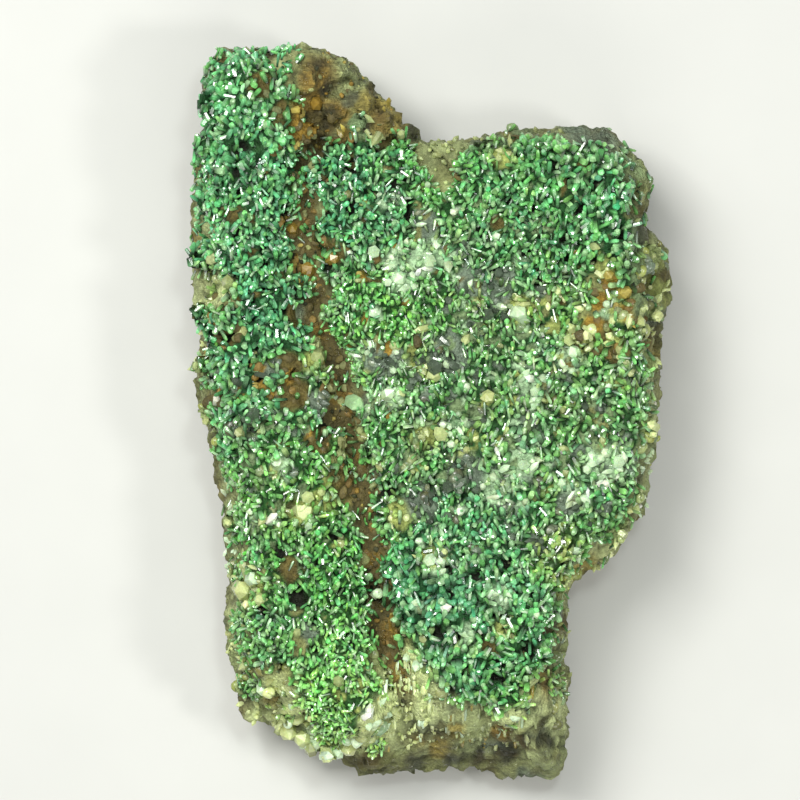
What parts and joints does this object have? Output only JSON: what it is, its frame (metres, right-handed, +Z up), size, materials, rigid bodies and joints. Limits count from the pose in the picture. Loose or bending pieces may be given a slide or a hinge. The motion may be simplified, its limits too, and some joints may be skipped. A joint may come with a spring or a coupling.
{
  "type": "pyromorphite mineral specimen",
  "caption": "Rough block of quartz and limonite lying on its broken back, its upper face crusted with small green barrel-shaped crystals that a bare brown seam parts.",
  "frame": {"origin": "on the surface the specimen rests on, under the middle of its bounding box", "axes": "+Z up through the crystal face, +Y along the length towards the end with the brown shoulder, +X towards the side with the lower ledge"},
  "size_m": [0.0718, 0.1098, 0.0342],
  "materials": {
    "quartz_and_limonite": "rough broken rock: iron-stained quartz and brown limonite, with pale quartz crystals",
    "pyromorphite_green": "glossy green barrel-shaped crystals with bright glints"
  },
  "bodies": {
    "root": {"quartz_matrix": "quartz_and_limonite", "pyromorphite_left": "pyromorphite_green", "pyromorphite_right": "pyromorphite_green"}
  },
  "joints": []
}
